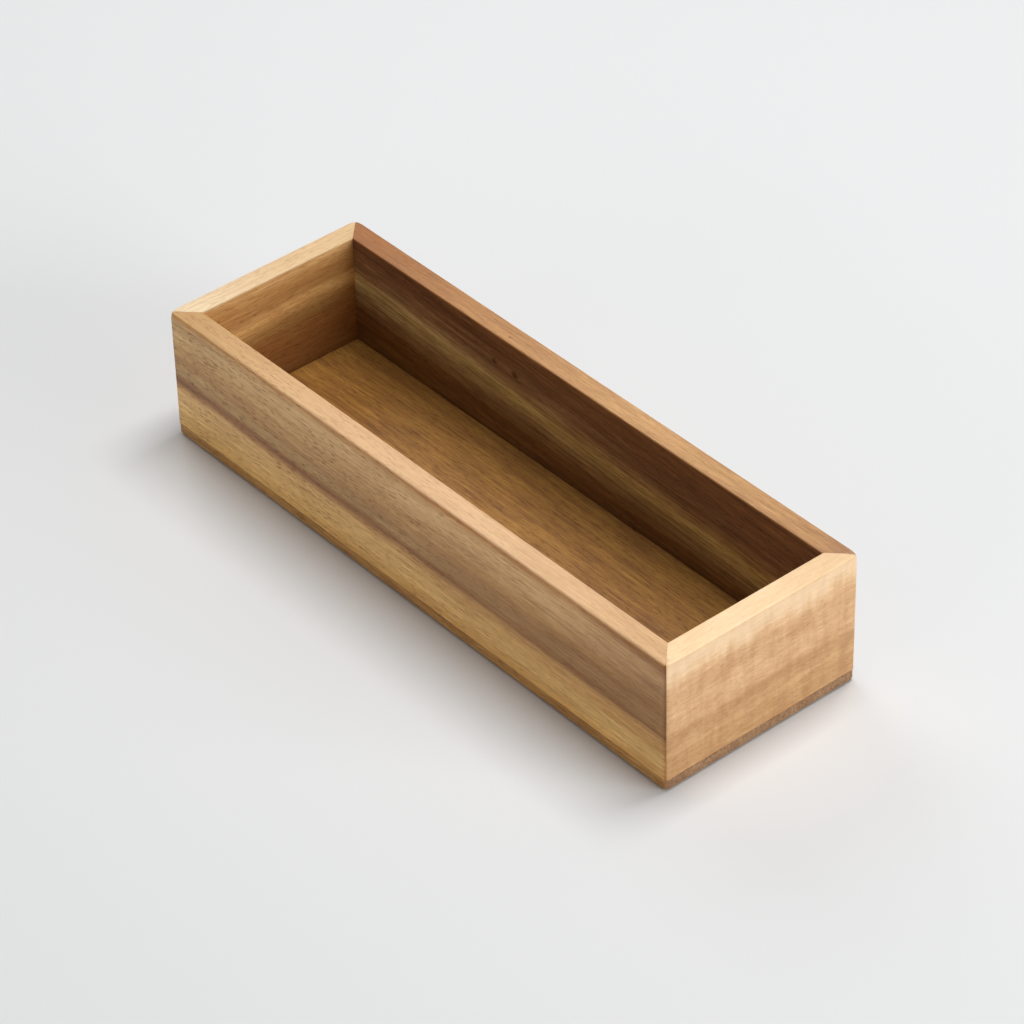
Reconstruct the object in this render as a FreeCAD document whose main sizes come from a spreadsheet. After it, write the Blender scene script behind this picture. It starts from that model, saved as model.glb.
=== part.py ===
import FreeCAD, Part
import math
import os
import Sketcher

# Narrow wooden drawer organizer: four mitred walls standing on a rebated base board,
# with a hidden spline across each mitre. Millimetres, +Z up, X along the tray, origin on
# the surface the tray stands on, under the middle of the base board.

# Driving dimensions: alias, value, what it measures
SIZES = [
    ("TrayLength", 254.0, "outside length, along X"),
    ("TrayWidth", 82.6, "outside width, along Y"),
    ("WallHeight", 47.6, "height of a wall board above the lip of the base board"),
    ("WallThickness", 8.2, "thickness of a wall board"),
    ("CornerRadius", 1.0, "sanded round of the upright outside corners of the walls"),
    ("RimRadius", 0.7, "eased outer top edge of the walls, under the corner radius"),
    ("InnerRimRadius", 0.4, "lightly eased inner top edge of the walls"),
    ("BaseThickness", 9.0, "full thickness of the base board, under the floor of the tray"),
    ("LipThickness", 4.6, "thickness left at the rebated edge that the walls stand on"),
    ("BaseCornerRadius", 2.1, "rounded corners of the base board, a little inside those of the walls"),
    ("FootRadius", 1.5, "rounded lower edge of the base board, under its corner radius"),
    ("FieldGap", 0.25, "room between the raised middle of the base board and a wall"),
    ("SplineThickness", 2.0, "thickness of a mitre spline"),
    ("SplineReach", 3.2, "how far a spline enters each mitre face"),
    ("SplineHeight", 34.0, "height of a spline, stopped well below the rim"),
    ("SplineSetback", 4.0, "from the inside corner to the middle of the spline, along the mitre"),
    ("SlotGap", 0.1, "room between a spline and each face of its slot"),
]

doc = FreeCAD.newDocument("drawer_organizer")
sheet = doc.addObject("Spreadsheet::Sheet", "Sizes")
for row, (alias, value, meaning) in enumerate(SIZES, start=1):
    sheet.set(f"A{row}", meaning)
    sheet.set(f"B{row}", str(value))
    sheet.setAlias(f"B{row}", alias)
doc.recompute()

# Places that several pieces share, as expressions of the driving dimensions
HALF_LENGTH = "Sizes.TrayLength / 2"
HALF_WIDTH = "Sizes.TrayWidth / 2"
SETBACK_STEP = "Sizes.SplineSetback / sqrt(2)"
SPLINE_X = f"{HALF_LENGTH} - Sizes.WallThickness + {SETBACK_STEP}"
SPLINE_Y = f"{HALF_WIDTH} - Sizes.WallThickness + {SETBACK_STEP}"

# Places in a sketch: its two axes, its origin, and the points that a line or an arc has
X_AXIS, Y_AXIS = range(-1, -3, -1)
ORIGIN = X_AXIS
START, END, CENTRE = range(1, 4)
SAME_PLACE = 1e-6


def require(condition, message):
    if not condition:
        raise RuntimeError(message)


def new_body(label):
    body = doc.addObject("PartDesign::Body", label)
    body.Label = label
    return body


def origin_plane(body, role):
    for feature in body.Origin.OriginFeatures:
        if feature.Role == role:
            return feature
    raise RuntimeError(f"{body.Label} has no {role}")


def new_sketch(body, name):
    sketch = body.newObject("Sketcher::SketchObject", name)
    sketch.AttachmentSupport = [(origin_plane(body, "XY_Plane"), "")]
    sketch.MapMode = "FlatFace"
    return sketch


def add_line(sketch, start, end):
    start_point = FreeCAD.Vector(start[0], start[1], 0)
    end_point = FreeCAD.Vector(end[0], end[1], 0)
    return sketch.addGeometry(Part.LineSegment(start_point, end_point), False)


def add_arc(sketch, centre, radius, start_degrees, end_degrees):
    circle = Part.Circle(FreeCAD.Vector(centre[0], centre[1], 0), FreeCAD.Vector(0, 0, 1), radius)
    arc = Part.ArcOfCircle(circle, math.radians(start_degrees), math.radians(end_degrees))
    return sketch.addGeometry(arc, False)


def relate(sketch, kind, *ends):
    sketch.addConstraint(Sketcher.Constraint(kind, *ends))


def dimension(sketch, kind, ends, value, name, expression):
    """A dimension that follows the spreadsheet; value is only where the solver starts."""
    index = sketch.addConstraint(Sketcher.Constraint(kind, *ends, value))
    sketch.renameConstraint(index, name)
    sketch.setExpression(f"Constraints.{name}", expression)


def pad(body, sketch, name, height):
    feature = body.newObject("PartDesign::Pad", name)
    feature.Profile = sketch
    feature.setExpression("Length", height)
    doc.recompute()
    return feature


def round_edges(body, base, name, edges, radius):
    fillet = body.newObject("PartDesign::Fillet", name)
    fillet.Base = (base, edges)
    fillet.setExpression("Radius", radius)
    doc.recompute()
    return fillet


def size(alias):
    return float(sheet.get(alias))


def level_edges(shape, height, from_y=-math.inf, to_y=math.inf):
    """Names of the edges in the level plane at this height and between two places across the
    board, but not along a mitre."""
    names = []
    for number, edge in enumerate(shape.Edges, start=1):
        ends = [vertex.Point for vertex in edge.Vertexes]
        if any(abs(point.z - height) > SAME_PLACE for point in ends):
            continue
        if any(not from_y <= point.y <= to_y for point in ends):
            continue
        along_x = abs(ends[0].y - ends[-1].y) < SAME_PLACE
        along_y = abs(ends[0].x - ends[-1].x) < SAME_PLACE
        if along_x or along_y or isinstance(edge.Curve, Part.Circle):
            names.append(f"Edge{number}")
    return names


# Walls
def wall_outline(body, length, length_expression):
    """Plan of a mitred board: outer face on the X axis, inner face towards +Y.

    Each end is a mitre at 45 degrees, and an eighth of a circle rounds its outer corner, so that
    two boards together show a quarter circle."""
    half = length / 2
    radius = size("CornerRadius")
    thick = size("WallThickness")
    nick = radius * math.cos(math.pi / 4)
    sketch = new_sketch(body, "outline")
    outer = add_line(sketch, (radius - half, 0), (half - radius, 0))
    right_round = add_arc(sketch, (half - radius, radius), radius, 270, 315)
    right_mitre = add_line(sketch, (half - radius + nick, radius - nick), (half - thick, thick))
    inner = add_line(sketch, (half - thick, thick), (thick - half, thick))
    left_mitre = add_line(sketch, (thick - half, thick), (radius - half - nick, radius - nick))
    left_round = add_arc(sketch, (radius - half, radius), radius, 225, 270)
    relate(sketch, "Tangent", outer, END, right_round, START)
    relate(sketch, "Coincident", right_round, END, right_mitre, START)
    relate(sketch, "Coincident", right_mitre, END, inner, START)
    relate(sketch, "Coincident", inner, END, left_mitre, START)
    relate(sketch, "Coincident", left_mitre, END, left_round, START)
    relate(sketch, "Tangent", left_round, END, outer, START)
    relate(sketch, "PointOnObject", outer, START, X_AXIS)
    relate(sketch, "PointOnObject", outer, END, X_AXIS)
    relate(sketch, "PointOnObject", right_round, CENTRE, right_mitre)
    relate(sketch, "PointOnObject", left_round, CENTRE, left_mitre)
    relate(sketch, "Symmetric", left_mitre, START, right_mitre, END, Y_AXIS)
    relate(sketch, "Symmetric", left_round, CENTRE, right_round, CENTRE, Y_AXIS)
    dimension(sketch, "Radius", (right_round,), radius, "corner", "Sizes.CornerRadius")
    dimension(sketch, "DistanceX", (ORIGIN, START, right_round, CENTRE), half - radius, "round_place",
              f"{length_expression} / 2 - Sizes.CornerRadius")
    dimension(sketch, "DistanceX", (ORIGIN, START, right_mitre, END), half - thick, "inner_half_length",
              f"{length_expression} / 2 - Sizes.WallThickness")
    dimension(sketch, "DistanceY", (ORIGIN, START, right_mitre, END), thick, "thickness",
              "Sizes.WallThickness")
    return sketch


def slot_outline(body, length, length_expression):
    """Plan of the spline slot across the right-hand mitre: a slim rectangle square to the mitre."""
    step = size("SplineSetback") / math.sqrt(2)
    middle = (length / 2 - size("WallThickness") + step, size("WallThickness") - step)
    reach = size("SplineReach") + size("SlotGap")
    half_width = size("SplineThickness") / 2 + size("SlotGap")
    across = (math.sqrt(0.5) * reach, math.sqrt(0.5) * reach)
    along = (math.sqrt(0.5) * half_width, -math.sqrt(0.5) * half_width)
    corners = []
    for across_sign, along_sign in ((-1, -1), (1, -1), (1, 1), (-1, 1)):
        corners.append((middle[0] + across_sign * across[0] + along_sign * along[0],
                        middle[1] + across_sign * across[1] + along_sign * along[1]))
    sketch = new_sketch(body, "slot_outline")
    sides = [add_line(sketch, corners[i], corners[(i + 1) % 4]) for i in range(4)]
    for i in range(4):
        relate(sketch, "Coincident", sides[i], END, sides[(i + 1) % 4], START)
    for i in range(3):
        relate(sketch, "Perpendicular", sides[i], sides[i + 1])
    centre = sketch.addGeometry(Part.Point(FreeCAD.Vector(middle[0], middle[1], 0)), True)
    relate(sketch, "Symmetric", sides[0], START, sides[2], START, centre, START)
    relate(sketch, "Angle", sides[0], math.radians(45))
    place = f"{length_expression} / 2 - Sizes.WallThickness + {SETBACK_STEP}"
    dimension(sketch, "DistanceX", (ORIGIN, START, centre, START), middle[0], "place_x", place)
    dimension(sketch, "DistanceY", (ORIGIN, START, centre, START), middle[1], "place_y",
              f"Sizes.WallThickness - {SETBACK_STEP}")
    dimension(sketch, "Distance", (sides[0],), 2 * reach, "slot_length",
              "2 * (Sizes.SplineReach + Sizes.SlotGap)")
    dimension(sketch, "Distance", (sides[1],), 2 * half_width, "slot_width",
              "Sizes.SplineThickness + 2 * Sizes.SlotGap")
    return sketch


def make_wall(label, length_alias, turn, place_axis, place_expression):
    """A wall board with its outer face turned outwards, standing on the lip of the base board."""
    length = size(length_alias)
    length_expression = f"Sizes.{length_alias}"
    body = new_body(label)
    board = pad(body, wall_outline(body, length, length_expression), "board", "Sizes.WallHeight")
    slot = body.newObject("PartDesign::Pocket", "spline_slot")
    slot.Profile = slot_outline(body, length, length_expression)
    slot.Reversed = True
    slot.setExpression("Length", "Sizes.SplineHeight + Sizes.SlotGap")
    doc.recompute()
    require(slot.Shape.Volume < board.Shape.Volume, f"{label}: the right slot cuts nothing")
    both_slots = body.newObject("PartDesign::Mirrored", "both_slots")
    both_slots.Originals = [slot]
    both_slots.MirrorPlane = (origin_plane(body, "YZ_Plane"), [""])
    body.Tip = both_slots
    doc.recompute()
    require(both_slots.Shape.Volume < slot.Shape.Volume, f"{label}: the left slot cuts nothing")
    middle = size("WallThickness") / 2
    outer_rim = level_edges(both_slots.Shape, size("WallHeight"), to_y=middle)
    outer_round = round_edges(body, both_slots, "outer_rim_round", outer_rim, "Sizes.RimRadius")
    inner_rim = level_edges(outer_round.Shape, size("WallHeight"), from_y=middle)
    body.Tip = round_edges(body, outer_round, "inner_rim_round", inner_rim, "Sizes.InnerRimRadius")
    body.Placement.Rotation = FreeCAD.Rotation(FreeCAD.Vector(0, 0, 1), turn)
    body.setExpression(f"Placement.Base.{place_axis}", place_expression)
    body.setExpression("Placement.Base.z", "Sizes.LipThickness")
    return body


# Base board
def rectangle_outline(body, name, half_x, half_y, x_expression, y_expression):
    """A rectangle centred on the origin; half_x and half_y are where the solver starts."""
    sketch = new_sketch(body, name)
    corners = [(-half_x, -half_y), (half_x, -half_y), (half_x, half_y), (-half_x, half_y)]
    sides = [add_line(sketch, corners[i], corners[(i + 1) % 4]) for i in range(4)]
    for i in range(4):
        relate(sketch, "Coincident", sides[i], END, sides[(i + 1) % 4], START)
        relate(sketch, "Horizontal" if i % 2 == 0 else "Vertical", sides[i])
    relate(sketch, "Symmetric", sides[0], START, sides[2], START, ORIGIN, START)
    dimension(sketch, "DistanceX", (sides[0], START, sides[0], END), 2 * half_x, "size_x", x_expression)
    dimension(sketch, "DistanceY", (sides[1], START, sides[1], END), 2 * half_y, "size_y", y_expression)
    return sketch


def make_base_panel():
    """The base board: a lip under the walls and a raised middle, the floor, between them."""
    body = new_body("base_panel")
    half_x = size("TrayLength") / 2
    half_y = size("TrayWidth") / 2
    inset = size("WallThickness") + size("FieldGap")
    outline = rectangle_outline(body, "lip_outline", half_x, half_y, "Sizes.TrayLength", "Sizes.TrayWidth")
    lip = pad(body, outline, "lip", "Sizes.LipThickness")
    upright = []
    for number, edge in enumerate(lip.Shape.Edges, start=1):
        if abs(edge.Vertexes[0].Z - edge.Vertexes[-1].Z) > SAME_PLACE:
            upright.append(f"Edge{number}")
    corners = round_edges(body, lip, "corner_rounds", upright, "Sizes.BaseCornerRadius")
    foot_edges = level_edges(corners.Shape, 0)
    round_edges(body, corners, "foot_round", foot_edges, "Sizes.FootRadius")
    field = rectangle_outline(body, "field_outline", half_x - inset, half_y - inset,
                              "Sizes.TrayLength - 2 * (Sizes.WallThickness + Sizes.FieldGap)",
                              "Sizes.TrayWidth - 2 * (Sizes.WallThickness + Sizes.FieldGap)")
    body.Tip = pad(body, field, "raised_field", "Sizes.BaseThickness")
    return body


# Splines
def make_spline(label, x_sign, y_sign):
    """A strip that stands on the lip of the base board, square to the mitre that it crosses."""
    body = new_body(label)
    outline = rectangle_outline(body, "section", size("SplineReach"), size("SplineThickness") / 2,
                                "2 * Sizes.SplineReach", "Sizes.SplineThickness")
    body.Tip = pad(body, outline, "strip", "Sizes.SplineHeight")
    body.Placement.Rotation = FreeCAD.Rotation(FreeCAD.Vector(0, 0, 1), -45 * x_sign * y_sign)
    body.setExpression("Placement.Base.x", f"{x_sign} * ({SPLINE_X})")
    body.setExpression("Placement.Base.y", f"{y_sign} * ({SPLINE_Y})")
    body.setExpression("Placement.Base.z", "Sizes.LipThickness")
    return body


pieces = [
    make_wall("front_side_wall", "TrayLength", 0, "y", f"-{HALF_WIDTH}"),
    make_wall("back_side_wall", "TrayLength", 180, "y", HALF_WIDTH),
    make_wall("left_end_wall", "TrayWidth", 270, "x", f"-{HALF_LENGTH}"),
    make_wall("right_end_wall", "TrayWidth", 90, "x", HALF_LENGTH),
    make_base_panel(),
    make_spline("mitre_spline_front_left", -1, -1),
    make_spline("mitre_spline_front_right", 1, -1),
    make_spline("mitre_spline_back_left", -1, 1),
    make_spline("mitre_spline_back_right", 1, 1),
]

doc.recompute()
for item in doc.Objects:
    require("Invalid" not in item.State and "Error" not in item.State, f"{item.Label}: {item.State}")
for piece in pieces:
    require(not piece.Shape.isNull() and piece.Shape.isValid(), f"{piece.Label} has no valid shape")

os.makedirs("parts", exist_ok=True)
for piece in pieces:
    piece.Shape.exportStep(f"parts/{piece.Label}.step")
    print(f"{piece.Label}: {piece.Shape.Volume:.1f} mm3")
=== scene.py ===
import math

import bmesh
import bpy
from mathutils import Matrix, Vector


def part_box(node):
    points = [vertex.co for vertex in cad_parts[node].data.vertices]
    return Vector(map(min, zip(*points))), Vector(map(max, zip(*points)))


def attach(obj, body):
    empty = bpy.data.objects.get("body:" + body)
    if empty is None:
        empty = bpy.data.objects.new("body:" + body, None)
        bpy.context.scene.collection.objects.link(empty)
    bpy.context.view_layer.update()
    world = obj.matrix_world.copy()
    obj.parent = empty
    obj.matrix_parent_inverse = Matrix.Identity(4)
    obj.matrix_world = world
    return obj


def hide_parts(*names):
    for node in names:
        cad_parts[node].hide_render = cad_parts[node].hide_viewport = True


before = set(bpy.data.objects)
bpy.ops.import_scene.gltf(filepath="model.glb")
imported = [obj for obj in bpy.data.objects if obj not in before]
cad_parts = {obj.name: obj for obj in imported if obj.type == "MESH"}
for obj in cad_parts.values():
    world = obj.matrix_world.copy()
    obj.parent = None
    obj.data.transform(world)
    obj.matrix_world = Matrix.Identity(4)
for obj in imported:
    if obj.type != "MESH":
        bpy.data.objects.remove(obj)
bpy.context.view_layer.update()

# Sizes of the tray in metres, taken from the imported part.
MM = 0.001
BASE_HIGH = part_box("base_panel")[1]
WALL_LOW, WALL_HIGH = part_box("front_side_wall")
SPLINE_LOW, SPLINE_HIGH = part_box("mitre_spline_front_left")
HALF_LENGTH = BASE_HIGH.x
HALF_WIDTH = BASE_HIGH.y
RIM = WALL_HIGH.z
LIP = WALL_LOW.z
WALL = WALL_HIGH.y - WALL_LOW.y
FLOOR_TOP = BASE_HIGH.z

# Radii of edges softened by sanding.
WALL_CORNER = 1.3 * MM
OUTER_RIM = 0.7 * MM
INNER_RIM = 0.4 * MM
BASE_CORNER = 1.7 * MM
FOOT = 1.5 * MM

# The rim's outer corners are worn rounder than its edges: how far from the tip, and how deep.
TIP_REACH = 3.5 * MM
TIP_WEAR = 0.8 * MM

# The joint between walls and base: a fine groove outside, a fine gap inside.
JOINT_EASE = 0.12 * MM
FIELD_GAP = 0.25 * MM

# Slots for the splines that lock the mitres, a little larger than the splines.
SLOT_THICKNESS = 2.2 * MM
SLOT_REACH = 3.3 * MM
SLOT_TOP = SPLINE_HIGH.z + 0.1 * MM
SLOT_SETBACK = HALF_LENGTH + (SPLINE_LOW.x + SPLINE_HIGH.x) / 2

# Tolerances of the modelling, in metres and radians.
SAME_PLACE = 1e-6
ON_PLANE = 1e-7
STILL_FLAT = math.radians(1)

# What shows in acacia, in millimetres: lengths with the grain, heights across it. Bands, lines and fibres
# have real sizes. Pores are about 0.3 mm high, twice the real ones, so that they still show in a picture of
# the whole tray; theirs is the size of the cell that each dash sits in.
PATCH_LENGTH, PATCH_HEIGHT = 26, 6
BAND_LENGTH, BAND_HEIGHT = 45, 1.6
LINE_LENGTH, LINE_HEIGHT = 18, 0.55
FIBRE_LENGTH, FIBRE_HEIGHT = 6, 0.36
PORE_LENGTH, PORE_HEIGHT = 5.5, 0.46
PORE_GROUP_LENGTH, PORE_GROUP_HEIGHT = 26, 5

# The slow bends of the grain, and the small shake of its fibres, in millimetres.
BEND_HEIGHT = 25
SHAKE, SHAKE_LENGTH, SHAKE_HEIGHT = 0.10, 12, 2

PORE_TINT = "8e6040"
KNOT_TINT = "8a6448"

# Roughness of the finishes.
SATIN = 0.48
DULL_SATIN = 0.5
DRY = 0.75
OPEN_PORE = 0.9

# Index of refraction of an oiled wood surface, and the height of its raised fibres.
OIL_IOR = 1.45
FIBRE_RAISE = 0.03 * MM

# The studio: half the width of the table in metres, the table's linear colour with alpha, and how bright the
# room is where it lights the wood and where it is seen.
TABLE_REACH = 4
TABLE_TONE = (0.74, 0.745, 0.75, 1)
ROOM_LIGHT = 0.1
ROOM_SEEN = 0.82

# The camera, fitted to the corners of the tray in the photograph: metres, degrees and millimetres.
CAMERA_PLACE = (0.8945, -0.7372, 0.9282)
CAMERA_TURN = (51.8111, 1.2043, 49.4106)
FOCAL_LENGTH = 154.53
SENSOR_WIDTH = 36


# Shader nodes

def colour(code):
    """A linear colour with alpha, from an sRGB hex code such as 'a9835a'."""
    parts = [int(code[i:i + 2], 16) / 255 for i in (0, 2, 4)]
    linear = [p / 12.92 if p <= 0.04045 else ((p + 0.055) / 1.055) ** 2.4 for p in parts]
    return (*linear, 1.0)


def live_socket(sockets, key):
    """A socket by its name, or by its place, among those that the node's settings leave in use."""
    live = [s for s in sockets if s.enabled]
    return live[key] if isinstance(key, int) else next(s for s in live if s.name == key)


def add(tree, kind, sockets=None, stops=None, **settings):
    """Adds a node, applies its settings, and sets its sockets or links them to other nodes."""
    node = tree.nodes.new(kind)
    for name, value in settings.items():
        setattr(node, name, value)
    for key, value in (sockets or {}).items():
        into = live_socket(node.inputs, key)
        if isinstance(value, bpy.types.Node):
            value = live_socket(value.outputs, 0)
        if isinstance(value, bpy.types.NodeSocket):
            tree.links.new(value, into)
        else:
            into.default_value = value
    if stops:
        elements = node.color_ramp.elements
        while len(elements) < len(stops):
            elements.new(0.5)
        for element, (place, shade) in zip(elements, stops):
            element.position = place
            element.color = colour(shade)
    return node


def new_material(name):
    """An empty material and its node tree."""
    material = bpy.data.materials.new(name)
    material.use_nodes = True
    material.node_tree.nodes.clear()
    return material, material.node_tree


def stained(tree, under, mask, tint):
    """A colour multiplied by a tint where the mask is 1, and left alone where it is 0."""
    return add(tree, "ShaderNodeMix", {"Factor": mask, "A": under, "B": colour(tint)},
               data_type="RGBA", blend_type="MULTIPLY")


def blended(tree, mask, one, other):
    """One colour where the mask is 0, and the other where it is 1."""
    return add(tree, "ShaderNodeMix", {"Factor": mask, "A": one, "B": other}, data_type="RGBA")


def both(tree, one, other):
    """A mask that is 1 only where two masks are, or a mask made weaker by a number."""
    return add(tree, "ShaderNodeMath", {0: one, 1: other}, operation="MULTIPLY")


# Wood, drawn in millimetres: X with the grain, Y through the board, Z up it

def rising(tree, places, axis, start, end, low=0.0, high=1.0):
    """A number that goes from low to high between two places, in millimetres, along one axis."""
    parts = add(tree, "ShaderNodeSeparateXYZ", {"Vector": places})
    return add(tree, "ShaderNodeMapRange", {
        "Value": parts.outputs[axis], "From Min": start, "From Max": end, "To Min": low, "To Max": high})


def across(tree, places, axis, stops):
    """Colours laid across the board along one axis; each stop is (millimetres, hex), lowest first."""
    low, high = stops[0][0], stops[-1][0]
    share = rising(tree, places, axis, low, high)
    return add(tree, "ShaderNodeValToRGB", {"Fac": share}, stops=[
        ((place - low) / (high - low), shade) for place, shade in stops])


def board_places(tree, along):
    """Places on a board in millimetres, with X along it."""
    where = add(tree, "ShaderNodeTexCoord")
    turn = (0, 0, math.radians(0 if along == "X" else -90))
    return add(tree, "ShaderNodeMapping", {
        "Vector": where.outputs["Object"], "Scale": (1 / MM,) * 3, "Rotation": turn})


def sloped(tree, places, rise):
    """The same places, with the grain rising by some degrees."""
    return add(tree, "ShaderNodeMapping", {"Vector": places, "Rotation": (0, math.radians(rise), 0)})


def cut_from(tree, places, plank):
    """The same places, moved in the log so that each board is cut from another part of it."""
    moved = (plank, plank * 0.3, plank * 0.7)
    return add(tree, "ShaderNodeVectorMath", {0: places, 1: moved}, operation="ADD")


def stretched(tree, places, length, height):
    """Places counted in marks of this length with the grain and this height across it."""
    return add(tree, "ShaderNodeVectorMath", {
        0: places, 1: (1 / length, 1 / height, 1 / height)}, operation="MULTIPLY")


def wandering(tree, places, pattern, reach, length, height):
    """The same places, pushed across the grain by up to about reach millimetres, as fibres wander."""
    noise = add(tree, "ShaderNodeTexNoise", {
        "Vector": stretched(tree, pattern, length, height), "Scale": 1.0, "Detail": 1.5, "Roughness": 0.5})
    centred = add(tree, "ShaderNodeVectorMath", {
        0: noise.outputs["Color"], 1: (0.5, 0.5, 0.5)}, operation="SUBTRACT")
    # The noise strays by about a third from its middle.
    push = add(tree, "ShaderNodeVectorMath", {0: centred, 1: (0, 3 * reach, 3 * reach)}, operation="MULTIPLY")
    return add(tree, "ShaderNodeVectorMath", {0: places, 1: push}, operation="ADD")


def streaks(tree, pattern, length, height, low=0.35, high=0.65, detail=2.0):
    """Soft lines with the grain, about this long and high, as a mask; a higher low leaves fewer of them."""
    noise = add(tree, "ShaderNodeTexNoise", {
        "Vector": stretched(tree, pattern, length, height), "Scale": 1.0, "Detail": detail, "Roughness": 0.6})
    return add(tree, "ShaderNodeMapRange", {"Value": noise, "From Min": low, "From Max": high})


def pores(tree, pattern, size):
    """Open pores as a mask: short dashes with the grain, larger in some places than in others.

    The size is the reach of a dash within its cell, at most 0.5."""
    cells = add(tree, "ShaderNodeTexVoronoi", {
        "Vector": stretched(tree, pattern, PORE_LENGTH, PORE_HEIGHT), "Scale": 1.0, "Randomness": 0.85})
    groups = streaks(tree, pattern, PORE_GROUP_LENGTH, PORE_GROUP_HEIGHT, low=0.30, high=0.70, detail=1.0)
    reach = add(tree, "ShaderNodeMapRange", {"Value": groups, "To Min": size * 0.75, "To Max": size})
    full_depth = both(tree, reach, 0.6)
    return add(tree, "ShaderNodeMapRange", {
        "Value": cells, "From Min": reach, "From Max": full_depth}, interpolation_type="SMOOTHSTEP")


def wood_surface(tree, tone, fibres, pore, roughness):
    """Sanded wood, oiled or dry: faintly raised fibres, and pores that stay open and dull."""
    rough = add(tree, "ShaderNodeMapRange", {"Value": pore, "To Min": roughness, "To Max": OPEN_PORE})
    bump = add(tree, "ShaderNodeBump", {
        "Height": fibres, "Strength": 0.5, "Distance": FIBRE_RAISE}, invert=True)
    shader = add(tree, "ShaderNodeBsdfPrincipled", {
        "Base Color": tone, "Roughness": rough, "Normal": bump, "IOR": OIL_IOR})
    add(tree, "ShaderNodeOutputMaterial", {"Surface": shader})


def lay_grain(tree, along, plank, rise=0.0, wander=1.0, run=60):
    """Level places on the board, the same with its slow bends of grain, and the plank's pattern along those.

    The grain rises by rise degrees. The bends push it up and down by about wander millimetres, and are run
    millimetres long."""
    level = board_places(tree, along)
    grain = sloped(tree, level, rise)
    bent = wandering(tree, grain, cut_from(tree, grain, plank), wander, run, BEND_HEIGHT)
    pattern = cut_from(tree, bent, plank)
    return level, bent, wandering(tree, pattern, pattern, SHAKE, SHAKE_LENGTH, SHAKE_HEIGHT)


def rim_face(tree, level):
    """A mask that is 1 on the narrow top face of a wall, and fades over its rounded edges."""
    return rising(tree, level, "Z", RIM / MM - 0.9, RIM / MM - 0.3)


def with_rim(tree, tone, level, stops):
    """The narrow top face, which is cut through other years of the wood and so has a tone of its own."""
    return blended(tree, rim_face(tree, level), tone, across(tree, level, "X", stops))


def grained(tree, tone, level, pattern, tint, stretch=1.0, depths=(0.25, 0.3, 0.6, 0.45),
            pore_size=0.30, pore_depth=0.9):
    """Adds what all the boards share, and returns the tone with the masks of fibres and pores.

    The depths say how strongly the tint shows in patches, bands, lines and fibres, and stretch makes these
    longer or shorter. All show less on the top face, which is sanded finer."""
    strength = add(tree, "ShaderNodeMapRange", {"Value": rim_face(tree, level), "To Min": 1.0, "To Max": 0.5})
    patches = streaks(tree, pattern, PATCH_LENGTH * stretch, PATCH_HEIGHT)
    bands = streaks(tree, pattern, BAND_LENGTH * stretch, BAND_HEIGHT)
    lines = streaks(tree, pattern, LINE_LENGTH * stretch, LINE_HEIGHT, low=0.45, high=0.80)
    fibres = streaks(tree, pattern, FIBRE_LENGTH * stretch, FIBRE_HEIGHT)
    pore = pores(tree, pattern, pore_size)
    for mask, depth in zip((patches, bands, lines, fibres), depths):
        tone = stained(tree, tone, both(tree, both(tree, mask, depth), strength), tint)
    tone = stained(tree, tone, both(tree, both(tree, pore, pore_depth), strength), PORE_TINT)
    return tone, fibres, pore


def dark_ends(tree, tone, level, half_length, tint):
    """End grain on the last millimetre of a board, at its rounded corners, where it has drunk more oil."""
    ends = across(tree, level, "X", [
        (-half_length, "ffffff"), (-half_length + 1.2, "000000"),
        (half_length - 1.2, "000000"), (half_length, "ffffff")])
    return stained(tree, tone, ends, tint)


def knot(tree, tone, level, place, half_length):
    """A small dark knot, an oval along the grain with a ragged edge, at a place on the board."""
    half_height = half_length / 1.5
    away = add(tree, "ShaderNodeVectorMath", {0: level, 1: place}, operation="SUBTRACT")
    away = wandering(tree, away, level, reach=0.3, length=1.5, height=1.5)
    away = stretched(tree, away, half_length, half_height)
    distance = add(tree, "ShaderNodeVectorMath", {0: away}, operation="LENGTH")
    mask = add(tree, "ShaderNodeMapRange", {
        "Value": distance.outputs["Value"], "From Min": 1.0, "From Max": 0.2}, interpolation_type="SMOOTHSTEP")
    return stained(tree, tone, mask, KNOT_TINT)


def front_acacia():
    """Planed, sanded and oiled acacia: warm satin wood, light brown above a plum-brown streak, golden below.

    The streak fades to a wide brown band towards the right. The pores stand open at the left, and the board
    is a little greyer at its upper right."""
    material, tree = new_material("front_acacia_oiled")
    level, bent, pattern = lay_grain(tree, "X", plank=40, rise=-0.4, wander=0.7)
    left = across(tree, bent, "Z", [
        (6, "fed280"), (19, "fed692"), (21.5, "c28d54"), (23, "99724a"), (24.5, "bb8355"), (26.2, "d4b57c"),
        (32, "d8ae75"), (38, "eac385"), (44, "f1cd91"), (48, "e9c48a"), (50, "ecbc76"), (51.2, "d9872e")])
    right = across(tree, bent, "Z", [
        (6, "f6c270"), (12, "fed88b"), (17, "e2b267"), (19, "dcab67"), (21.3, "ddb067"), (23, "a77841"),
        (26, "b0854c"), (32, "b3854c"), (35, "cb9d5e"), (42, "e9bd85"), (47, "fed498"), (50, "ddae70"),
        (51.2, "d6984c")])
    towards_right = rising(tree, level, "X", -110, 100)
    tone = blended(tree, towards_right, left, right)
    upper_right = both(tree, rising(tree, level, "X", 75, 120), rising(tree, level, "Z", 26, 40))
    tone = stained(tree, tone, upper_right, "d8d0c8")
    tone = with_rim(tree, tone, level, [(-115, "c89d61"), (-35, "e4bb8b"), (45, "e6be91"), (115, "dfb686")])
    open_pores = rising(tree, level, "X", -60, 70, low=1.0, high=0.35)
    tone, fibres, pore = grained(tree, tone, level, pattern, "c0a07c", pore_depth=open_pores)
    tone = dark_ends(tree, tone, level, half_length=126.9, tint="b07c58")
    wood_surface(tree, tone, fibres, pore, SATIN)
    return material


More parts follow.
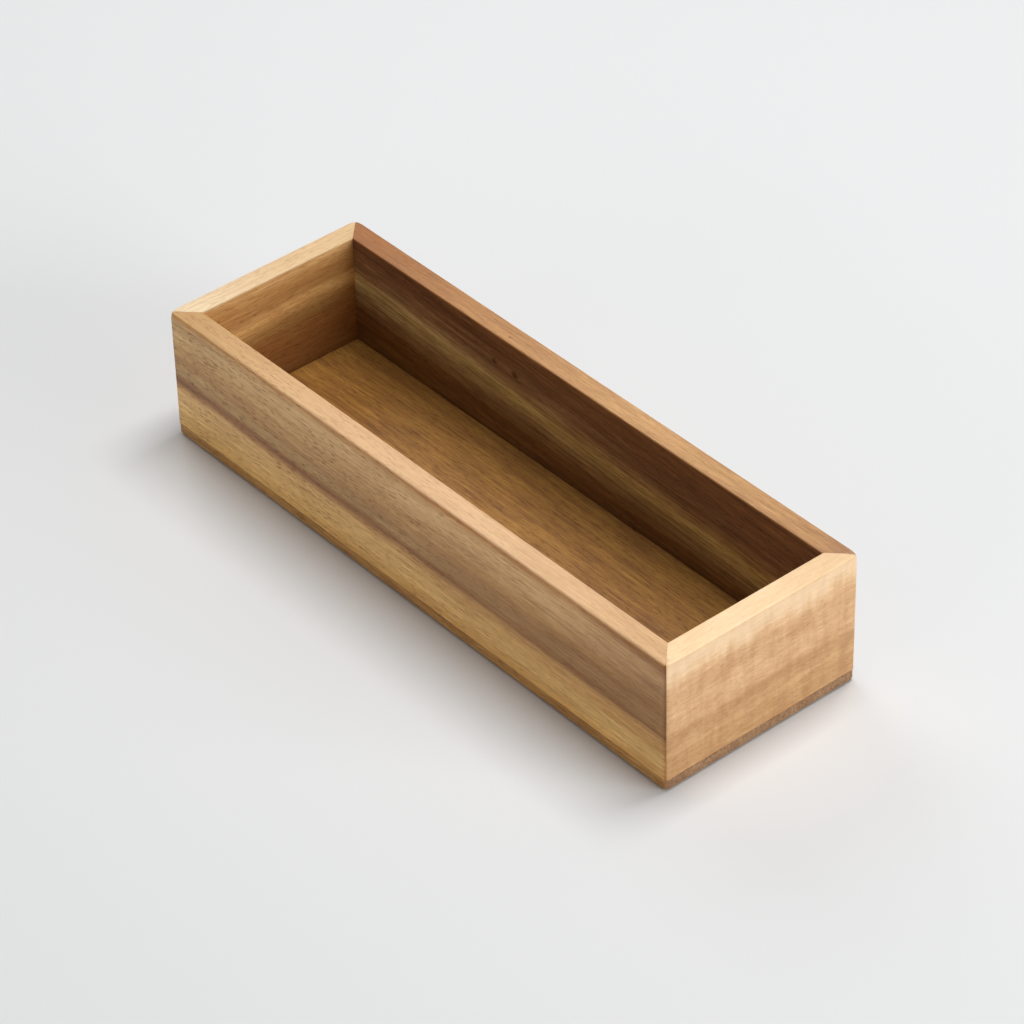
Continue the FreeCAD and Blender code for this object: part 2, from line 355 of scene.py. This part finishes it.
def back_acacia():
    """The same finish on dark heartwood, with a golden streak that falls to the right and small knots.

    The streak is real, but its pale stops are painted light for the dim inside of the tray; the outside is
    stained warmer, nearer the wood's own tone."""
    material, tree = new_material("back_acacia_oiled")
    level, bent, pattern = lay_grain(tree, "X", plank=310, rise=-2.7, wander=0.8)
    # Painted light: the pale stops of the golden streak stand in for light that the inside of the tray lacks.
    tone = across(tree, bent, "Z", [
        (16, "9a7a50"), (22, "c6ba96"), (26, "e2dca9"), (29, "fefab5"), (32, "ddc691"), (37, "a5825b"),
        (44, "8c6340"), (52, "91653f")])
    # The outside face is stained warmer, so that the painted light of the pale stops shows only inside.
    outside = rising(tree, level, "Y", 39, 40.5)
    tone = stained(tree, tone, outside, "f0d0a8")
    tone = with_rim(tree, tone, level, [(-115, "a76a2c"), (20, "d9aa71"), (112, "ca9a64"), (125, "b88a62")])
    tone, fibres, pore = grained(tree, tone, level, pattern, "946c48", stretch=1.4,
                                 depths=(0.35, 0.45, 0.9, 0.5), pore_depth=0.5)
    tone = knot(tree, tone, level, (-42.5, 33, 40.2), half_length=2.0)
    tone = knot(tree, tone, level, (-31.8, 33, 40.0), half_length=2.6)
    tone = knot(tree, tone, level, (-36.7, 35.4, 52.2), half_length=0.9)
    wood_surface(tree, tone, fibres, pore, SATIN)
    return material


def left_acacia():
    """The same finish on pale sapwood with orange bands."""
    material, tree = new_material("left_acacia_oiled")
    level, bent, pattern = lay_grain(tree, "Y", plank=150, wander=1.2, run=35)
    tone = across(tree, bent, "Z", [
        (6, "a07a48"), (24, "ac7a44"), (31, "b38c51"), (36, "e5ba76"), (41, "be9155"), (46, "d5a868"),
        (50, "f1c88a")])
    tone = with_rim(tree, tone, level, [(-36, "eed8b2"), (0, "e6c89b"), (36, "debe8e")])
    tone, fibres, pore = grained(tree, tone, level, pattern, "c8a070", pore_depth=0.6)
    wood_surface(tree, tone, fibres, pore, SATIN)
    return material


def right_acacia():
    """The same finish on figured wood: short fibres, soft upright ripples, and a painted sheen under the rim.

    The painted sheen is a pale part that ends below in a ragged edge, with tongues as wide as the ripples."""
    material, tree = new_material("right_acacia_oiled")
    level, bent, pattern = lay_grain(tree, "Y", plank=220, wander=1.0, run=30)
    tone = across(tree, bent, "Z", [
        (7, "d4ac79"), (12.5, "d3ab77"), (14.5, "e0ba88"), (17, "d5ae7c"), (21.5, "d2a977"), (24, "e6c090"),
        (30, "edc99b"), (36, "e3bd8d"), (40, "e9c293"), (45, "f9d6a7")])
    ripple = streaks(tree, pattern, length=3.5, height=16, detail=4.0)
    tone = stained(tree, tone, both(tree, ripple, 0.32), "c8a888")
    tone = with_rim(tree, tone, level, [(-36, "fddaae"), (0, "fbdbb0"), (36, "eccb9f")])
    tone, fibres, pore = grained(tree, tone, level, pattern, "dcc0a0", stretch=0.3,
                                 depths=(0.2, 0.35, 0.45, 0.3), pore_size=0.22, pore_depth=0.45)
    # Painted sheen: the face is painted paler towards the rim, where the light falls stronger.
    height = rising(tree, bent, "Z", 36, 52)
    sheen_tongues = both(tree, streaks(tree, pattern, length=4.5, height=30, detail=1.0), 0.28)
    ragged = add(tree, "ShaderNodeMath", {0: height, 1: sheen_tongues}, operation="ADD")
    pale = add(tree, "ShaderNodeMapRange", {
        "Value": ragged, "From Min": 0.47, "From Max": 0.90, "To Max": 0.5})
    below_rim = rising(tree, level, "Z", 51.2, 51.7, low=1.0, high=0.0)
    # The pale colour laid on here is painted sheen, not the wood's own tone.
    tone = blended(tree, both(tree, pale, below_rim), tone, colour("fde2bc"))
    wood_surface(tree, tone, fibres, pore, SATIN)
    return material


def base_acacia():
    """The same finish on a slightly darker board, with greyer end grain on its end at +X."""
    material, tree = new_material("base_acacia_oiled")
    level, bent, pattern = lay_grain(tree, "X", plank=500, wander=1.5)
    tone = across(tree, bent, "Y", [(-41, "d7a55c"), (-33, "b98a3e"), (12, "b08136"), (41, "b98d42")])
    end_grain = rising(tree, level, "X", 126, 126.9)
    tone = blended(tree, end_grain, tone, colour("bc9870"))
    tone, fibres, pore = grained(tree, tone, level, pattern, "a07848",
                                 depths=(0.3, 0.4, 0.8, 0.45), pore_depth=0.6)
    wood_surface(tree, tone, fibres, pore, DULL_SATIN)
    return material


def sawn_strip():
    """Plain sawn hardwood for the splines: paler and dry, without oil."""
    material, tree = new_material("sawn_hardwood_strip")
    level, bent, pattern = lay_grain(tree, "X", plank=700)
    tone = across(tree, bent, "Z", [(0, "cfa878"), (40, "d8b484")])
    tone, fibres, pore = grained(tree, tone, level, pattern, "b89870")
    wood_surface(tree, tone, fibres, pore, DRY)
    return material


# Shaping boards

def near(a, b):
    """Whether two measures are the same."""
    return abs(a - b) < SAME_PLACE


def edges_where(bm, test):
    """The edges whose two ends both pass a test on their place."""
    return [e for e in bm.edges if all(test(v.co) for v in e.verts)]


def ease(bm, edges, radius, segments):
    """Rounds edges over."""
    bmesh.ops.bevel(
        bm, geom=edges, offset=radius, offset_type="OFFSET", segments=segments,
        profile=0.5, affect="EDGES", material=-1, clamp_overlap=True)


def cut_through(bm, place, normal):
    """Cuts the faces in two along a plane, and keeps both sides."""
    bmesh.ops.bisect_plane(
        bm, geom=bm.verts[:] + bm.edges[:] + bm.faces[:], dist=ON_PLANE, plane_co=place, plane_no=normal)


def raise_up(bm, faces, height):
    """Extrudes level faces up, or down where the height is negative."""
    grown = bmesh.ops.extrude_face_region(bm, geom=faces)["geom"]
    moved = [v for v in grown if isinstance(v, bmesh.types.BMVert)]
    bmesh.ops.translate(bm, verts=moved, vec=(0, 0, height))
    bmesh.ops.recalc_face_normals(bm, faces=bm.faces)


def join_flat_faces(bm):
    """Takes out the cuts that no longer bound anything."""
    bmesh.ops.dissolve_limit(bm, angle_limit=STILL_FLAT, verts=bm.verts, edges=bm.edges)


def half_round_tip(bm, tip):
    """The half of a rounded outer corner that one board carries, up to the mitre."""
    centre = Vector((tip.x - WALL_CORNER, tip.y + WALL_CORNER, tip.z))
    start = bm.verts.new((centre.x, tip.y, tip.z))
    bmesh.ops.spin(bm, geom=[start], cent=centre, axis=(0, 0, 1), angle=math.pi / 4, steps=5)


def cut_slot_outline(bm, half_length, half_depth, side):
    """Cuts the outline of the spline slot at one end, and returns a test for places over the slot."""
    middle = Vector((side * (half_length - SLOT_SETBACK), -half_depth + SLOT_SETBACK, SLOT_TOP))
    mitre = Vector((-side, 1, 0)).normalized()
    outward = Vector((side, 1, 0)).normalized()
    cut_through(bm, middle + mitre * SLOT_THICKNESS / 2, mitre)
    cut_through(bm, middle - mitre * SLOT_THICKNESS / 2, mitre)
    cut_through(bm, middle - outward * SLOT_REACH, outward)
    return lambda place: (abs((place - middle).dot(mitre)) < SLOT_THICKNESS / 2
                          and (place - middle).dot(outward) > -SLOT_REACH)


def wear_tips(bm, half_length, half_depth):
    """Presses the rim's outer corners in a little, where sanding and hands wear them most.

    Cuts around each tip give the flat faces places to bend at."""
    for share in (1.0, 0.6, 0.3):
        cut_through(bm, (0, 0, RIM - share * TIP_REACH), (0, 0, 1))
        for side in (-1, 1):
            cut_through(bm, (side * (half_length - share * TIP_REACH), 0, 0), (1, 0, 0))
    for side in (-1, 1):
        tip = Vector((side * half_length, -half_depth, RIM))
        inward = Vector((-side, 1, -1)).normalized()
        for v in bm.verts:
            closeness = max(0.0, 1 - (v.co - tip).length / TIP_REACH)
            v.co += inward * TIP_WEAR * closeness ** 2


def mitred_board(half_length, half_depth):
    """A wall board on the -Y side: mitred, slotted for a spline at both ends, its rim and corners eased."""
    bm = bmesh.new()
    half_round_tip(bm, Vector((half_length, -half_depth, SLOT_TOP)))
    bm.verts.new((half_length - WALL, -half_depth + WALL, SLOT_TOP))
    bmesh.ops.mirror(bm, geom=bm.verts[:] + bm.edges[:], matrix=Matrix.Identity(4), axis="X", merge_dist=-1)
    bmesh.ops.delete(bm, geom=bm.edges[:], context="EDGES_FACES")
    middle = -half_depth + WALL / 2
    bm.faces.new(sorted(bm.verts, key=lambda v: math.atan2(v.co.y - middle, v.co.x)))

    over_slot = [cut_slot_outline(bm, half_length, half_depth, side) for side in (-1, 1)]
    raise_up(bm, bm.faces[:], RIM - SLOT_TOP)
    low = [f for f in bm.faces if near(f.calc_center_median().z, SLOT_TOP)]
    solid = [f for f in low if not any(test(f.calc_center_median()) for test in over_slot)]
    raise_up(bm, solid, LIP - SLOT_TOP)
    join_flat_faces(bm)

    outside = -half_depth + WALL_CORNER
    inside = -half_depth + WALL
    ease(bm, edges_where(bm, lambda p: near(p.z, RIM) and p.y < outside), OUTER_RIM, segments=5)
    ease(bm, edges_where(bm, lambda p: near(p.z, RIM) and near(p.y, inside)), INNER_RIM, segments=4)
    ease(bm, edges_where(bm, lambda p: near(p.z, LIP) and p.y < outside), JOINT_EASE, segments=1)
    wear_tips(bm, half_length, half_depth)
    return bm


def turned(bm, degrees):
    """The same board, turned about the middle of the tray."""
    turn = Matrix.Rotation(math.radians(degrees), 3, "Z")
    bmesh.ops.rotate(bm, verts=bm.verts, cent=(0, 0, 0), matrix=turn)
    return bm


def rebated_board():
    """A board with a lip all round that the walls stand on, and a raised field between them."""
    bm = bmesh.new()
    bmesh.ops.create_grid(bm, x_segments=1, y_segments=1, size=1)
    bmesh.ops.scale(bm, verts=bm.verts, vec=(HALF_LENGTH, HALF_WIDTH, 1))
    raise_up(bm, bm.faces[:], LIP)
    upright = [e for e in bm.edges if not near(e.verts[0].co.z, e.verts[1].co.z)]
    ease(bm, upright, BASE_CORNER, segments=10)
    ease(bm, edges_where(bm, lambda p: near(p.z, 0)), FOOT, segments=6)
    ease(bm, edges_where(bm, lambda p: near(p.z, LIP)), JOINT_EASE, segments=1)

    field = Vector((HALF_LENGTH - WALL - FIELD_GAP, HALF_WIDTH - WALL - FIELD_GAP, LIP))
    for normal in ((1, 0, 0), (0, 1, 0)):
        for side in (-1, 1):
            cut_through(bm, side * field * Vector(normal), normal)
    middle = [f for f in bm.faces if near(f.calc_center_median().length, LIP)]
    raise_up(bm, middle, FLOOR_TOP - LIP)
    join_flat_faces(bm)
    return bm


# The pieces of the tray

def piece(name, bm, material, node):
    """Keeps a finished mesh as a piece of the tray that stands for its CAD node."""
    mesh = bpy.data.meshes.new(name)
    bmesh.ops.recalc_face_normals(bm, faces=bm.faces)
    for face in bm.faces:
        face.smooth = True
    bm.to_mesh(mesh)
    bm.free()
    mesh.materials.append(material)
    made = bpy.data.objects.new(name, mesh)
    bpy.context.scene.collection.objects.link(made)
    made.modifiers.new("flat faces stay flat", "WEIGHTED_NORMAL").weight = 100
    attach(made, "root")
    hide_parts(node)


def front_board():
    """The long wall that faces the camera."""
    board = mitred_board(HALF_LENGTH, HALF_WIDTH)
    piece("front_board", board, front_acacia(), "front_side_wall")


def back_board():
    """The long wall whose inside shows over the front one."""
    board = turned(mitred_board(HALF_LENGTH, HALF_WIDTH), 180)
    piece("back_board", board, back_acacia(), "back_side_wall")


def right_board():
    """The short wall at the near end."""
    board = turned(mitred_board(HALF_WIDTH, HALF_LENGTH), 90)
    piece("right_board", board, right_acacia(), "right_end_wall")


def left_board():
    """The short wall at the far end."""
    board = turned(mitred_board(HALF_WIDTH, HALF_LENGTH), -90)
    piece("left_board", board, left_acacia(), "left_end_wall")


def base_board():
    """The board under the walls, whose raised field is the tray's floor."""
    piece("base_board", rebated_board(), base_acacia(), "base_panel")


def mitre_splines():
    """The strips inside the mitres, as the CAD has them, in their own wood."""
    strip = sawn_strip()
    for name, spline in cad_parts.items():
        if name.startswith("mitre_spline"):
            spline.data.materials.clear()
            spline.data.materials.append(strip)


# Floor, light and camera

def studio_floor():
    """A matt pale table, wide enough to fill every view."""
    bm = bmesh.new()
    bmesh.ops.create_grid(bm, x_segments=1, y_segments=1, size=TABLE_REACH)
    mesh = bpy.data.meshes.new("studio_floor")
    bm.to_mesh(mesh)
    bm.free()
    floor = bpy.data.objects.new("studio_floor", mesh)
    bpy.context.scene.collection.objects.link(floor)
    material, tree = new_material("matt_pale_table")
    shader = add(tree, "ShaderNodeBsdfDiffuse", {"Color": TABLE_TONE})
    add(tree, "ShaderNodeOutputMaterial", {"Surface": shader})
    mesh.materials.append(material)


def softbox(name, place, width, height, watts):
    """A soft rectangular lamp that faces the tray."""
    lamp = bpy.data.lights.new(name, "AREA")
    lamp.shape = "RECTANGLE"
    lamp.size = width
    lamp.size_y = height
    lamp.energy = watts
    holder = bpy.data.objects.new(name, lamp)
    bpy.context.scene.collection.objects.link(holder)
    holder.location = place
    holder.rotation_euler = (-Vector(place)).to_track_quat("-Z", "Y").to_euler()


def studio_light():
    """Most light comes from above and a little behind, less from low at the right, some from front and left."""
    softbox("overhead", (0.03, 0.37, 1.5), width=0.55, height=1.0, watts=18.4)
    softbox("right", (1.38, 0.5, 0.42), width=1.0, height=0.6, watts=13.5)
    softbox("front", (0.1, -1.6, 0.35), width=1.2, height=0.5, watts=5.4)
    softbox("left", (-1.3, 0.3, 0.9), width=0.9, height=0.9, watts=7.0)


def studio_room():
    """A dim room as the wood is lit by it, and a pale one as the camera and mirror-like surfaces see it."""
    room = bpy.data.worlds.new("studio_room")
    bpy.context.scene.world = room
    room.use_nodes = True
    tree = room.node_tree
    tree.nodes.clear()
    ray = add(tree, "ShaderNodeLightPath")
    seen = add(tree, "ShaderNodeMath", {
        0: ray.outputs["Is Camera Ray"], 1: ray.outputs["Is Glossy Ray"]}, operation="MAXIMUM")
    seen = add(tree, "ShaderNodeMath", {0: seen, 1: ray.outputs["Is Transmission Ray"]}, operation="MAXIMUM")
    strength = add(tree, "ShaderNodeMapRange", {"Value": seen, "To Min": ROOM_LIGHT, "To Max": ROOM_SEEN})
    pale = add(tree, "ShaderNodeBackground", {"Color": colour("ffffff"), "Strength": strength})
    add(tree, "ShaderNodeOutputWorld", {"Surface": pale})


def camera():
    """A long lens, high on the near right, as the photograph was taken."""
    lens = bpy.data.cameras.new("camera")
    lens.lens = FOCAL_LENGTH
    lens.sensor_width = SENSOR_WIDTH
    holder = bpy.data.objects.new("camera", lens)
    bpy.context.scene.collection.objects.link(holder)
    holder.location = CAMERA_PLACE
    holder.rotation_euler = [math.radians(angle) for angle in CAMERA_TURN]
    bpy.context.scene.camera = holder


front_board()
back_board()
right_board()
left_board()
base_board()
mitre_splines()

studio_floor()
studio_light()
studio_room()
camera()
bpy.context.scene.view_settings.view_transform = "Standard"
